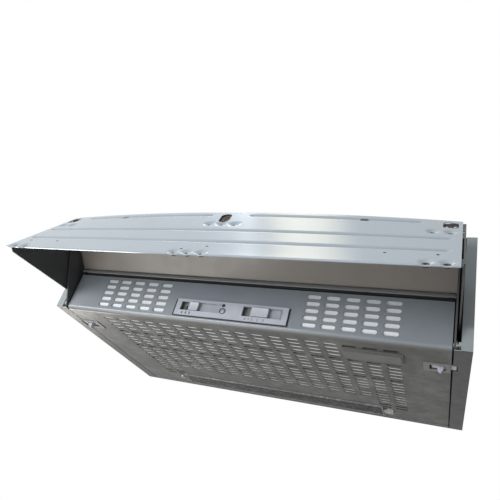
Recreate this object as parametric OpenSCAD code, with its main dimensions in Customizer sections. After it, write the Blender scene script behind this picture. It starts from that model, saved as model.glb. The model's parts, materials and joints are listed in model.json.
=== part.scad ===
// Under cabinet range hood with a swing-out visor, 60 cm class.
// +Z is up and the front faces -Y. The origin is on the wall plane, at mid width, level with the underside.

/* [Body] */
// Overall width of the body
body_w = 600; // [590:1:620]
// Depth from the wall plane to the front strips
body_d = 315; // [310:1:330]
// Height of the side panels
body_h = 152; // [150:1:170]
// Thickness of the body's sheet steel
sheet = 1; // [0.8:0.1:1.2]
// Width of the front strips beside the panel
strip_w = 12; // [11:0.5:13]
// Width of the flanges under the side panels
flange_w = 19; // [18:0.5:20]

/* [Grille panel] */
// Half the width of the hinged lower panel
panel_half_w = 279; // [276:0.5:279]
// How far the panel's front face stands behind the strips
fascia_inset = 2; // [1:0.5:3]
// Height of the panel's front face
fascia_h = 61; // [60:1:62]
// Outer radius of the bend between front face and grille
bend_r = 6; // [4:0.5:7]
// Length of one air slot
slot_l = 18.5; // [16:0.5:20]
// Height of one air slot
slot_h = 6; // [5:0.5:7]
// Distance between slot columns
slot_pitch_x = 25; // [24:0.5:26]
// Distance between the slot rows of the grille
slot_pitch_y = 11.45; // [10:0.05:11.5]
// Distance between the slot rows of the front face
slot_pitch_z = 10.15; // [9:0.05:10.2]
// Number of slot columns
slot_columns = 18; // [10:2:20]
// Slot rows in every column of the grille
slot_rows = 17; // [8:1:17]
// Extra rows in the two outer columns of each side
extra_rows = 4; // [0:1:4]

/* [Visor] */
// Width of the visor's sheet
visor_w = 565; // [560:1:566]
// Height of the visor's sheet
visor_h = 141.3; // [138:0.1:142]
// Tilt of the open visor from the vertical
visor_tilt = 36.7; // [30:0.1:38]
// How far the open visor's lower edge stands in front of the strips
visor_reach = 143; // [140:1:145]
// Height of the open visor's lower edge
visor_drop = 16.7; // [14:0.1:20]

/* [Exhaust] */
// Outer diameter of the duct collar
collar_d = 120; // [118:1:125]
// Height of the duct collar above the body
collar_h = 45; // [40:1:60]

/* [Hidden] */
$fn = 48;
half_w = body_w / 2;
front = -body_d;
fascia_y = front + fascia_inset;
bend_y = fascia_y + bend_r;
panel_rear = -12.5;
running = 0.05;

// Swing linkage, as [y, z] points
pivot = [front + 5, 8];
pin_below_top = 10;
pin_inset = 6;
visor_up = [sin(visor_tilt), cos(visor_tilt)];
visor_in = [cos(visor_tilt), -sin(visor_tilt)];
near_edge = [front - visor_reach, visor_drop];
visor_pivot = near_edge + (visor_h - pin_below_top) * visor_up + pin_inset * visor_in;
link = visor_pivot - pivot;
link_l = norm(link);
link_lean = atan2(-link[0], link[1]);
link_pin_r = 2;
pivot_pin_r = 2.5;
arm_x = 280.5;
arm_t = 2;
wing_x = 284.5;
wing_t = 1.5;

// Blower, as [y, z] of its shaft
fan_axis = [-106, 78];
fan_half_w = 44;
scroll_r = 62;
impeller_r = 52;
duct_y = -76;

// Extrudes a [y, z] outline along X
module along_x(x0, length) {
    translate([x0, 0, 0]) rotate([90, 0, 90]) linear_extrude(length) children();
}

module rod_x(x0, length, at, r) {
    translate([x0, at[0], at[1]]) rotate([0, 90, 0]) cylinder(r = r, h = length);
}

module rod_y(y0, length, x, z, r) {
    translate([x, y0 + length, z]) rotate([90, 0, 0]) cylinder(r = r, h = length);
}

module rod_z(z0, length, x, y, r) {
    translate([x, y, z0]) cylinder(r = r, h = length);
}

module block(low, high) {
    translate(low) cube(high - low);
}

// A slot with round ends, centred
module slot(length, height) {
    square([length - height, height], center = true);
    for (side = [-1, 1]) translate([side * (length - height) / 2, 0]) circle(d = height);
}

module mirrored(side) {
    mirror([side < 0 ? 1 : 0, 0, 0]) children();
}

// ---- casing ----

fixing_r = 2.6;
fixing_y = [-262, -52];
fixing_z = [40, 130];
notch_y = [-267, -249];
return_depth = 16;

module side_panel(side) {
    mirrored(side) difference() {
        union() {
            block([half_w - sheet, front, 0], [half_w, 0, body_h]);
            block([half_w - strip_w, front, 0], [half_w, front + sheet, body_h]);
            block([half_w - strip_w, front, sheet],
                [half_w - strip_w + sheet, front + return_depth, body_h - sheet]);
            block([half_w - flange_w, front + sheet, 0], [half_w, -sheet, sheet]);
        }
        for (y = fixing_y, z = fixing_z) rod_x(half_w - 2 * sheet, 3 * sheet, [y, z], fixing_r);
        block([half_w - flange_w - 1, notch_y[0], -1], [half_w - flange_w + 5, notch_y[1], 2]);
        rod_x(half_w - strip_w - 1, 3, pivot, pivot_pin_r);
    }
}

module side_panel_left() { color("gainsboro") side_panel(-1); }
module side_panel_right() { color("gainsboro") side_panel(1); }

hang_x = 200;
hang_z = 128;
hang_r = 4;
rear_lip = 7.5;

module back_panel() {
    inner = half_w - sheet;
    color("gainsboro") difference() {
        union() {
            block([-inner, -sheet, 0], [inner, 0, body_h - sheet]);
            block([-inner + flange_w, -rear_lip, 0], [inner - flange_w, 0, sheet]);
        }
        for (x = [-hang_x, hang_x]) rod_y(-2, 3, x, hang_z, hang_r);
    }
}

gland_x = -170;
gland_y = -34;
gland_r = 8;
cable_r = 4;
rail_half_w = 278;
rail_h = 11;

module top_panel() {
    inner = half_w - sheet;
    color("gainsboro") difference() {
        union() {
            block([-inner, front + sheet, body_h - sheet], [inner, 0, body_h]);
            block([-rail_half_w, front + sheet, body_h - rail_h], [rail_half_w, front + 2 * sheet, body_h]);
        }
        rod_z(body_h - 2, 3, 0, duct_y, collar_d / 2 - 1.5);
        rod_z(body_h - 2, 3, gland_x, gland_y, gland_r);
    }
}

body_screw_y = [-290, -200, -110, -20];
head_r = 3.2;
head_h = 1.6;

module body_screws() {
    color("silver") for (side = [-1, 1], y = body_screw_y) mirrored(side) {
        translate([half_w - 6, y, body_h]) cylinder(r1 = head_r, r2 = head_r - 1, h = head_h);
    }
}

pin_proud = 0.7;

module pivot_pins() {
    color("silver") for (side = [-1, 1]) mirrored(side) {
        rod_x(arm_x - pin_proud, half_w - strip_w + sheet - arm_x + pin_proud, pivot, pivot_pin_r);
    }
}

module ring_x(x0, length, at, r_out, r_in) {
    difference() {
        rod_x(x0, length, at, r_out);
        rod_x(x0 - 1, length + 2, at, r_in);
    }
}

side_gap = 0.3;
washer_t = 1;
washer_r = 5;

module pivot_washers() {
    color("silver") for (side = [-1, 1]) mirrored(side) {
        ring_x(arm_x + arm_t + side_gap, washer_t, pivot, washer_r, pivot_pin_r);
    }
}

nut_x = 285.4;
nut_r = 4.6;
nut_t = 2.6;

module pivot_nuts() {
    color("silver") for (side = [-1, 1]) mirrored(side) difference() {
        translate([nut_x, pivot[0], pivot[1]]) rotate([0, 90, 0]) cylinder(r = nut_r, h = nut_t, $fn = 6);
        rod_x(nut_x - 1, nut_t + 2, pivot, pivot_pin_r);
    }
}

// ---- rear hinge of the grille panel ----

hinge = [-16, 7];
ear_x = 225;
ear_t = 1.5;
ear_r = 4.5;
hinge_pin_r = 2;
bracket_x = ear_x + ear_t + 0.5;
bracket_t = 1.5;
bracket_r = 5;
foot_w = 14;
foot_low = hinge[1] + 2.6;

module hinge_brackets() {
    color("silver") for (side = [-1, 1]) mirrored(side) difference() {
        union() {
            rod_x(bracket_x, bracket_t, hinge, bracket_r);
            block([bracket_x, hinge[0], foot_low], [bracket_x + bracket_t, -sheet, hinge[1] + 7]);
            block([bracket_x, -2 * sheet, foot_low], [bracket_x + foot_w, -sheet, hinge[1] + 16]);
        }
        rod_x(bracket_x - 1, 4, hinge, hinge_pin_r);
    }
}

module hinge_pins() {
    color("silver") for (side = [-1, 1]) mirrored(side) {
        rod_x(ear_x - 1.5, bracket_x + bracket_t + 1.5 - ear_x, hinge, hinge_pin_r);
    }
}

// ---- blower ----

throat_y = fan_axis[0] - 2;
throat_w = 64;

// Outline of the blower's housing in [y, z], grown by grow
module scroll(grow) {
    translate(fan_axis) circle(r = scroll_r + grow, $fn = 96);
    translate([throat_y - grow, fan_axis[1]]) square([throat_w + 2 * grow, body_h - sheet - fan_axis[1]]);
}

wall = 1.5;
inlet_r = 42;
shaft_gap_r = 6;
rim_w = 6;
rim_t = 2;

module fan_housing() {
    color("lightgray") difference() {
        union() {
            along_x(-fan_half_w, 2 * fan_half_w) scroll(0);
            rod_z(body_h - 2 * sheet, sheet, 0, duct_y, collar_d / 2 + 1);
        }
        along_x(-fan_half_w + wall, 2 * (fan_half_w - wall)) scroll(-wall);
        block([-fan_half_w + wall, throat_y + wall, body_h - 10],
            [fan_half_w - wall, throat_y + throat_w - wall, body_h]);
        rod_x(fan_half_w - wall - 1, 5, fan_axis, inlet_r);
        rod_x(-fan_half_w - 1, 5, fan_axis, shaft_gap_r);
    }
}

module inlet_ring() {
    color("darkgray") translate([fan_half_w, fan_axis[0], fan_axis[1]]) rotate([0, 90, 0]) {
        rotate_extrude($fn = 96) translate([inlet_r, 0]) square([rim_w, rim_t]);
    }
}

hub_r = 9;
shaft_r = 4;
hub_l = 26;
impeller_w = 64;
disc_t = 2;
eye_r = 40;
blade_count = 24;
blade_t = 1.5;
blade_w = 10;

module impeller() {
    color("white") translate([-impeller_w / 2, fan_axis[0], fan_axis[1]]) rotate([0, 90, 0]) difference() {
        union() {
            cylinder(r = impeller_r, h = disc_t, $fn = 96);
            translate([0, 0, impeller_w - disc_t]) rotate_extrude($fn = 96) {
                translate([eye_r, 0]) square([impeller_r - eye_r, disc_t]);
            }
            for (i = [0 : blade_count - 1]) rotate(i * 360 / blade_count) {
                translate([eye_r + 1, -blade_t / 2, disc_t]) {
                    cube([blade_w, blade_t, impeller_w - 2 * disc_t]);
                }
            }
            cylinder(r = hub_r, h = hub_l);
        }
        translate([0, 0, -1]) cylinder(r = shaft_r, h = hub_l + 2);
    }
}

motor_x = -104;
motor_l = 50;
motor_r = 36;
boss_r = 12;
boss_l = 8;
socket_l = 12;
shaft_l = 64;

module motor_shaft() {
    color("silver") rod_x(motor_x + motor_l - socket_l, shaft_l, fan_axis, shaft_r);
}

module motor() {
    color("dimgray") difference() {
        union() {
            rod_x(motor_x, motor_l, fan_axis, motor_r);
            rod_x(motor_x - boss_l, motor_l + 1.5 * boss_l, fan_axis, boss_r);
        }
        rod_x(motor_x + motor_l - socket_l - 1, shaft_l, fan_axis, shaft_r + running);
    }
}

spider_r = 50;
spider_w = 10;
spider_t = 2;

// Three legs that hold the motor off the housing's wall
module motor_bracket() {
    x0 = motor_x + motor_l + boss_l / 2;
    color("silver") difference() {
        union() {
            for (i = [0 : 2]) translate([x0, fan_axis[0], fan_axis[1]]) rotate([i * 120, 0, 0]) {
                translate([0, -spider_w / 2, boss_r]) cube([spider_t, spider_w, spider_r - boss_r]);
                translate([0, -spider_w / 2, spider_r - spider_t]) {
                    cube([-fan_half_w - x0, spider_w, spider_t]);
                }
            }
            rod_x(x0, spider_t, fan_axis, boss_r + 4);
        }
        rod_x(x0 - 1, spider_t + 2, fan_axis, shaft_gap_r);
    }
}

capacitor_at = [-106, 136];

module capacitor() {
    color("white") rod_x(62, 48, capacitor_at, 14);
}

// ---- duct collar and its back-draught flaps ----

flap_z = body_h + 9;
flap_pin_r = 1.2;
flap_t = 1.2;
flap_r = collar_d / 2 - 3;
knuckle_r = 2.6;
flange_out = 12.5;
flange_t = 1.5;
screw_r = 1.8;
screw_circle_r = collar_d / 2 + 7;

module outlet_collar() {
    r = collar_d / 2;
    color("darkslategray") difference() {
        translate([0, duct_y, body_h]) rotate_extrude($fn = 128) {
            translate([r - wall, flange_t]) square([wall, collar_h - flange_t]);
        }
        rod_y(duct_y - r - 1, 2 * r + 2, 0, flap_z, flap_pin_r);
    }
}

module collar_flange() {
    color("darkslategray") difference() {
        translate([0, duct_y, body_h]) rotate_extrude($fn = 128) {
            translate([collar_d / 2 - wall, 0]) square([wall + flange_out, flange_t]);
        }
        for (i = [0 : 3]) rotate_at_collar(i) translate([screw_circle_r, 0, body_h - 1]) {
            cylinder(r = screw_r, h = flange_t + 2);
        }
    }
}

module rotate_at_collar(i) {
    translate([0, duct_y, 0]) rotate(45 + i * 90) children();
}

module collar_screws() {
    color("silver") for (i = [0 : 3]) rotate_at_collar(i) translate([screw_circle_r, 0, body_h]) {
        cylinder(r = screw_r, h = flange_t);
        translate([0, 0, flange_t]) cylinder(r = head_r, h = head_h);
    }
}

module flap_pin() {
    color("silver") rod_y(duct_y - collar_d / 2, collar_d, 0, flap_z, flap_pin_r);
}

// knuckles: first and last of each hinge barrel, as distances from the collar's centre
module flap(side, knuckles) {
    translate([0, duct_y, 0]) mirrored(side) difference() {
        union() {
            intersection() {
                rod_z(flap_z - flap_t / 2, flap_t, 0, 0, flap_r);
                block([4, -flap_r, flap_z - 1], [flap_r, flap_r, flap_z + 1]);
            }
            for (k = knuckles) {
                rod_y(k[0], k[1] - k[0], 0, flap_z, knuckle_r);
                block([0, k[0], flap_z - flap_t / 2], [5, k[1], flap_z + flap_t / 2]);
            }
        }
        rod_y(-flap_r, 2 * flap_r, 0, flap_z, flap_pin_r + running);
    }
}

module flap_left() { color("dimgray") flap(-1, [[-50, -38], [12, 24]]); }
module flap_right() { color("dimgray") flap(1, [[-24, -12], [38, 50]]); }

// ---- wiring ----

box_low = [-210, -74, 98];
box_high = [-130, -sheet, 140];
box_wall = 2;

module wiring_box() {
    color("white") difference() {
        block(box_low, box_high);
        block(box_low + box_wall * [1, 1, 1], box_high + [-box_wall, -box_wall, 1]);
    }
}

module wiring_lid() {
    color("whitesmoke") difference() {
        block([box_low[0], box_low[1], box_high[2]], box_high + [0, 0, box_wall]);
        rod_z(box_high[2] - 1, 4, gland_x, gland_y, gland_r);
    }
}

module terminal_block() {
    color("beige") for (i = [1 : 3]) translate(box_low + [12 * i, 12, box_wall]) cube([11, 18, 14]);
}

module cable_gland() {
    color("black") difference() {
        union() {
            rod_z(box_high[2] - 4, 22, gland_x, gland_y, gland_r);
            rod_z(body_h, 4, gland_x, gland_y, gland_r + 4);
            translate([gland_x, gland_y, body_h + 4]) cylinder(r = gland_r + 2, h = 8, $fn = 6);
        }
        rod_z(box_high[2] - 5, 40, gland_x, gland_y, cable_r);
    }
}

// ---- lamps ----

lamp_at = [-38, 34];
lamp_x = 172;
holder_r = 13;
cap_r = 6;
plate_x = lamp_x + 16;

module lamp_reflector() {
    color("silver") for (side = [-1, 1]) mirrored(side) difference() {
        union() {
            block([70, -62, 62], [205, -sheet, 62 + sheet]);
            block([plate_x, -62, 12], [plate_x + sheet, -sheet, 62]);
        }
        rod_x(plate_x - 1, 3, lamp_at, cap_r);
    }
}

module lamp_holders() {
    color("black") for (side = [-1, 1]) mirrored(side) {
        rod_x(lamp_x - 14, plate_x - lamp_x + 14, lamp_at, holder_r);
        rod_x(plate_x, 8, lamp_at, cap_r);
    }
}

// Each bulb is turned about X: cap, neck and a round-ended glass
module lamps() {
    color("white") for (side = [-1, 1]) mirrored(side) {
        translate([lamp_x - 14, lamp_at[0], lamp_at[1]]) rotate([0, -90, 0]) rotate_extrude() {
            square([7, 12]);
            translate([0, 12]) square([10, 6]);
            translate([0, 18]) square([15, 30]);
            intersection() {
                translate([0, 48]) circle(r = 15);
                translate([0, 40]) square([20, 40]);
            }
        }
    }
}

// ---- grille panel ----

column_x = [for (i = [0 : slot_columns - 1]) (i - (slot_columns - 1) / 2) * slot_pitch_x];
front_row_z = 12.4;
first_row_y = front + 25.5;
face_columns = 5;
face_rows = 5;
hem_w = 8;

function is_outer(i, n) = i < n || i >= slot_columns - n;

light_window = [[-76, 15.5], [-15, 29]];
fan_window = [[20, 15], [75, 29.5]];
lens_at = [-9.4, 19.1];
led_at = [-10, 27.6];
lens_r = 4.3;
led_r = 1.5;

module window(w) {
    translate(w[0]) square(w[1] - w[0]);
}

// Openings that the control plate and the sheet behind it share, in [x, z]
module control_openings() {
    window(light_window);
    window(fan_window);
    translate(lens_at) circle(r = lens_r);
    translate(led_at) circle(r = led_r);
}

// Turns an [x, z] outline into a plate between two Y values
module face_plate(y0, y1) {
    translate([0, y1, 0]) rotate([90, 0, 0]) linear_extrude(y1 - y0) children();
}

module front_fascia() {
    color("lightsteelblue") {
        face_plate(fascia_y, fascia_y + sheet) difference() {
            translate([-panel_half_w, bend_r]) square([2 * panel_half_w, fascia_h - bend_r]);
            for (i = [0 : slot_columns - 1], row = [0 : face_rows - 1]) if (is_outer(i, face_columns)) {
                translate([column_x[i], front_row_z + row * slot_pitch_z]) slot(slot_l, slot_h);
            }
            control_openings();
        }
        along_x(-panel_half_w, 2 * panel_half_w) {
            intersection() {
                translate([bend_y, bend_r]) difference() {
                    circle(r = bend_r);
                    circle(r = bend_r - sheet);
                }
                translate([fascia_y, 0]) square(bend_r);
            }
            translate([fascia_y, fascia_h - sheet]) square([hem_w, sheet]);
        }
    }
}

diffuser_x = [-190, 186];
diffuser_y = [-64, -14];
lens_rim = 3;
lens_step = lens_rim + 0.3;
latch_slot_x = [255, 273];
latch_y = [-264, -252];
side_lip_h = 10;

module grille_plate() {
    color("lightsteelblue") linear_extrude(sheet) difference() {
        translate([-panel_half_w, bend_y]) square([2 * panel_half_w, panel_rear - bend_y]);
        for (i = [0 : slot_columns - 1], row = [0 : slot_rows + extra_rows - 1]) {
            if (row < slot_rows || is_outer(i, 2)) {
                translate([column_x[i], first_row_y + row * slot_pitch_y]) slot(slot_l, slot_h);
            }
        }
        translate([diffuser_x[0] + lens_rim, diffuser_y[0] + lens_rim]) {
            square([diffuser_x[1] - diffuser_x[0], diffuser_y[1] - diffuser_y[0]] - 2 * lens_rim * [1, 1]);
        }
        for (side = [-1, 1]) mirrored(side) translate([latch_slot_x[0], latch_y[0] - 1]) {
            square([latch_slot_x[1] - latch_slot_x[0], latch_y[1] - latch_y[0] + 2]);
        }
    }
}

// Turned-up side edges of the panel, and the two ears that hang on the hinge pins
module panel_rails() {
    color("lightsteelblue") for (side = [-1, 1]) mirrored(side) difference() {
        union() {
            block([panel_half_w - sheet, bend_y, sheet], [panel_half_w, panel_rear, side_lip_h]);
            rod_x(ear_x, ear_t, hinge, ear_r);
            block([ear_x, hinge[0] - ear_r, sheet], [ear_x + ear_t, panel_rear, hinge[1]]);
        }
        block([panel_half_w - 2, notch_y[0], sheet], [panel_half_w + 1, notch_y[1], 4]);
        rod_x(ear_x - 1, 4, hinge, hinge_pin_r + running);
    }
}

felt_t = 6;
wire_r = 1;
felt_half_w = 250;
felt_low = sheet + 2 * wire_r;
felt_top = felt_low + felt_t;
felt_rear = -68;
front_felt_x = 96;
front_felt_t = 5;

module filter_felt() {
    color("ivory") block([-felt_half_w, fascia_y + 3, felt_low], [felt_half_w, felt_rear, felt_top]);
}

module front_felts() {
    y0 = fascia_y + 2 * sheet;
    color("ivory") for (side = [-1, 1]) mirrored(side) {
        block([front_felt_x, y0, felt_top], [felt_half_w, y0 + front_felt_t, fascia_h - sheet]);
    }
}

wire_y = [-295, -237.5, -180, -124, -72];

module filter_wires() {
    color("silver") for (y = wire_y) {
        rod_x(-panel_half_w + sheet, 2 * (panel_half_w - sheet), [y, sheet + wire_r], wire_r);
    }
}

module lamp_diffuser() {
    low = [diffuser_x[0], diffuser_y[0]];
    high = [diffuser_x[1], diffuser_y[1]];
    color("gray") {
        block([low[0], low[1], sheet], [high[0], high[1], sheet + 2]);
        block([low[0] + lens_step, low[1] + lens_step, -1.5],
            [high[0] - lens_step, high[1] - lens_step, sheet]);
    }
}

fixing_at_y = -43;

// A screw at the left end of the lens and a snap clip at its right end
module diffuser_fixings() {
    x1 = diffuser_x[1];
    color("silver") rod_z(-1.8, 1.8, diffuser_x[0] - 7, fixing_at_y, 4);
    color("gainsboro") block([x1 - 2, fixing_at_y - 7, -3], [x1 + 12, fixing_at_y + 7, -1.5]);
    color("gainsboro") block([x1 + 2, fixing_at_y - 7, -1.5], [x1 + 12, fixing_at_y + 7, 0]);
}

badge_low = [151.5, -283.5];
badge_high = [226, -257.5];
badge_step = 2;
badge_z = [-3.6, -2.2, 0];

module badge_plate() {
    color("gray") {
        block([badge_low[0], badge_low[1], badge_z[1]], [badge_high[0], badge_high[1], badge_z[2]]);
        block([badge_low[0] + badge_step, badge_low[1] + badge_step, badge_z[0]],
            [badge_high[0] - badge_step, badge_high[1] - badge_step, badge_z[1]]);
    }
}

module latch_plates() {
    color("lightsteelblue") for (side = [-1, 1]) mirrored(side) difference() {
        block([248, -271, -1], [278.5, -245, 0]);
        block([latch_slot_x[0], latch_y[0] - 1, -2], [latch_slot_x[1], latch_y[1] + 1, 1]);
    }
}

latch_knob_x = [263, 271.5];
latch_plate_z = sheet + side_gap;

module latch(side) {
    color("gainsboro") mirrored(side) {
        block([latch_knob_x[0], latch_y[0], -7], [latch_knob_x[1], latch_y[1], latch_plate_z]);
        block([257, latch_y[0] - 1, latch_plate_z], [285, latch_y[1] + 1, latch_plate_z + 2]);
    }
}

module latch_left() { latch(-1); }
module latch_right() { latch(1); }

// ---- controls ----

plate_half_w = 84;
plate_z = [8, 33];
plate_t = 2;

module control_plate() {
    color("lightgray") face_plate(fascia_y - plate_t, fascia_y) difference() {
        translate([-plate_half_w, plate_z[0]]) square([2 * plate_half_w, plate_z[1] - plate_z[0]]);
        control_openings();
    }
}

knob_out = 4;
rib_out = 0.8;
slide_gap = 0.4;
slide_t = 2.5;
slide_y = fascia_y + sheet + slide_gap;
switch_y = slide_y + slide_t + slide_gap;
tongue_w = 3;
tongue_l = 4;
tongue_z = [20, 24];

// knob_x and slide_x are [low, high] pairs of X
module slider_knob(knob_x, low_z, high_z) {
    mid = (knob_x[0] + knob_x[1]) / 2;
    y0 = fascia_y - knob_out;
    block([knob_x[0], y0, low_z], [knob_x[1], slide_y, high_z]);
    for (i = [-1 : 1]) {
        block([mid + i * 3 - 0.5, y0 - rib_out, low_z], [mid + i * 3 + 0.5, y0, high_z]);
    }
}

module slider_slide(slide_x, knob_x, low_z, high_z) {
    mid = (knob_x[0] + knob_x[1]) / 2;
    block([slide_x[0], slide_y, low_z], [slide_x[1], slide_y + slide_t, high_z]);
    block([mid - tongue_w / 2, slide_y + slide_t, tongue_z[0]],
        [mid + tongue_w / 2, slide_y + slide_t + tongue_l, tongue_z[1]]);
}

// travel is how far the slider's tongue moves, as [low, high]
module slider_switch(switch_x, knob_x, travel) {
    mid = (knob_x[0] + knob_x[1]) / 2;
    difference() {
        block([switch_x[0], switch_y, 12], [switch_x[1], switch_y + 16, 32]);
        block([mid - tongue_w / 2 - 0.5 + travel[0], switch_y - 1, tongue_z[0] - 1],
            [mid + tongue_w / 2 + 0.5 + travel[1], switch_y + tongue_l + 0.6, tongue_z[1] + 1]);
    }
}

light_x = [-62, -48];
light_slide_x = [-66, -17];
light_travel = [-13, 0];
fan_x = [33, 57];
fan_slide_x = [30, 73];
fan_travel = [-12, 17];

module light_knob() { color("white") slider_knob(light_x, 16.5, 28); }
module fan_knob() { color("white") slider_knob(fan_x, 16, 28.5); }
module light_slide() { color("gainsboro") slider_slide(light_slide_x, light_x, 14, 31); }
module fan_slide() { color("gainsboro") slider_slide(fan_slide_x, fan_x, 14, 31); }
module light_switch() { color("black") slider_switch([-82, -16], light_x, light_travel); }
module fan_switch() { color("black") slider_switch([16, 82], fan_x, fan_travel); }

module pilot_lens() {
    color("silver") {
        rod_y(fascia_y - plate_t - rib_out, plate_t + sheet + rib_out, lens_at[0], lens_at[1], lens_r);
        rod_y(fascia_y - plate_t - rib_out, plate_t + sheet + rib_out, led_at[0], led_at[1], led_r);
    }
}

module pilot_lamp() {
    color("orange") block([-14, fascia_y + sheet, 14], [-5, fascia_y + sheet + 12, 30]);
}

// ---- swing frame ----

// Local frame of the linkage: the body pivot is the origin and +Z points to the visor's pivot
module in_link() {
    translate([0, pivot[0], pivot[1]]) rotate([link_lean, 0, 0]) children();
}

arm_root_r = 6.5;
arm_tip_r = 3.4;
arm_rear = 15.5;

module arm(side) {
    color("#2b2b2d") mirrored(side) in_link() difference() {
        union() {
            rod_x(arm_x, arm_t, [0, 0], arm_root_r);
            rod_x(arm_x, arm_t, [0, link_l], arm_tip_r);
            along_x(arm_x, arm_t) polygon([[-arm_root_r, 0], [arm_root_r, 0], [arm_rear, 40], [arm_rear, 92],
                [arm_tip_r, link_l], [-arm_tip_r, link_l]]);
        }
        rod_x(arm_x - 1, arm_t + 2, [0, 0], pivot_pin_r + running);
        rod_x(arm_x - 1, arm_t + 2, [0, link_l], link_pin_r + running);
    }
}

module arm_left() { arm(-1); }
module arm_right() { arm(1); }

lip_z = [65, 71];
lip_y = front + 2;
guide_t = 1;
guide_over = 6;
bumper_w = 6;

// Bent air guide: an upright lip, then a slope up to the visor's pivot line
module air_guide() {
    top = visor_pivot + guide_over * [cos(visor_tilt), -sin(visor_tilt)];
    slope = top - [lip_y, lip_z[1]];
    across = guide_t * [-slope[1], slope[0]] / norm(slope);
    color("tan") along_x(-arm_x, 2 * arm_x) {
        polygon([[lip_y, lip_z[0]], [lip_y, lip_z[1]], top, top - across,
            [lip_y + guide_t, lip_z[1]], [lip_y + guide_t, lip_z[0]]]);
    }
}

module lip_bumpers() {
    color("black") for (x = [-276, 272]) {
        block([x, lip_y - 2, lip_z[0] - 3], [x + bumper_w, lip_y, lip_z[1]]);
    }
}

// ---- visor ----

// Local frame of the visor: +Z runs up its sheet from the near edge and +Y points inwards
module in_visor() {
    translate([0, near_edge[0], near_edge[1]]) rotate([-visor_tilt, 0, 0]) children();
}

door_hole_r = 2.2;
door_hole_x = [253, 271];
door_hole_s = [6.7, 99.5];
keyhole = [-5, 122];
bead_h = 8;
bead_depth = 1.5;

module visor_openings() {
    for (side = [-1, 1], s = door_hole_s, x = door_hole_x) translate([side * x, s]) circle(r = door_hole_r);
    for (x = [-18, 0, 18], s = door_hole_s) translate([x, s]) circle(r = door_hole_r);
    for (side = [-1, 1], x = [214, 262.5]) translate([side * x, 27]) circle(r = 1.6);
    translate([17, 25]) circle(r = 1.6);
    translate([-12, 15]) slot(6, 3.5);
    for (side = [-1, 1]) translate([side * 176, 130]) slot(9, 5);
    for (side = [-1, 1]) translate([side * 270.5 - 7.5, 114]) square([15, 24]);
    translate(keyhole) circle(r = 5.5);
    translate(keyhole - [3, 0]) square([6, 12]);
}

module bead(x0, x1, s) {
    translate([(x0 + x1) / 2, s]) slot(abs(x1 - x0), bead_h);
}

module visor_sheet() {
    color("aliceblue") in_visor() {
        face_plate(0, sheet) difference() {
            translate([-visor_w / 2, 0]) square([visor_w, visor_h]);
            visor_openings();
        }
        face_plate(sheet, sheet + bead_depth) {
            for (side = [-1, 1]) bead(side * 31, side * 160, 130);
            for (side = [-1, 1]) bead(side * 192, side * 245, 130);
            bead(-240, 240, 77.5);
            bead(-240, 240, 40.6);
        }
    }
}

tab_x = 246;
top_tab_x = 258;
catch_s = [110, 139];

module wing(side) {
    color("#2b2b2d") mirrored(side) in_visor() {
        along_x(wing_x, wing_t) polygon([[sheet, 10.5], [11.6, 10.5], [98, 84], [115, 100],
            [115, visor_h - 2], [sheet, visor_h - 2]]);
        for (s = [door_hole_s[0] + 3.8, door_hole_s[1] - 6.5]) difference() {
            block([tab_x, sheet, s - 6.5], [wing_x, 2 * sheet, s + 13]);
            for (x = door_hole_x, h = door_hole_s) rod_y(0, 4, x, h, door_hole_r);
        }
        block([top_tab_x, sheet, catch_s[0]], [wing_x, 2 * sheet, catch_s[1]]);
    }
}

module wing_left() { wing(-1); }
module wing_right() { wing(1); }

module visor_pins() {
    color("silver") for (side = [-1, 1]) mirrored(side) {
        rod_x(arm_x - 1.5, wing_x - arm_x + 1.5, visor_pivot, link_pin_r);
        rod_x(arm_x - 2.5, 1, visor_pivot, arm_tip_r);
    }
}

catch_y = sheet + bead_depth;

// Spring catch behind the keyhole of the sheet
module visor_catch() {
    color("dimgray") in_visor() difference() {
        block([-18, catch_y, catch_s[0]], [8, catch_y + wing_t, catch_s[1]]);
        rod_y(catch_y - 1, wing_t + 2, keyhole[0], keyhole[1], link_pin_r);
    }
}

side_panel_left();
side_panel_right();
back_panel();
top_panel();
body_screws();
pivot_pins();
pivot_washers();
pivot_nuts();
hinge_brackets();
hinge_pins();
fan_housing();
inlet_ring();
motor_bracket();
motor();
capacitor();
impeller();
motor_shaft();
outlet_collar();
collar_flange();
collar_screws();
flap_pin();
flap_left();
flap_right();
wiring_box();
wiring_lid();
terminal_block();
cable_gland();
lamp_reflector();
lamp_holders();
lamps();
front_fascia();
grille_plate();
panel_rails();
filter_felt();
front_felts();
filter_wires();
lamp_diffuser();
diffuser_fixings();
badge_plate();
latch_plates();
latch_left();
latch_right();
control_plate();
light_switch();
fan_switch();
light_knob();
light_slide();
fan_knob();
fan_slide();
pilot_lens();
pilot_lamp();
arm_left();
arm_right();
air_guide();
lip_bumpers();
visor_sheet();
wing_left();
wing_right();
visor_pins();
visor_catch();
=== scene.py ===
import json
import math

import bmesh
import bpy
from mathutils import Matrix, Vector, noise


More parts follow.
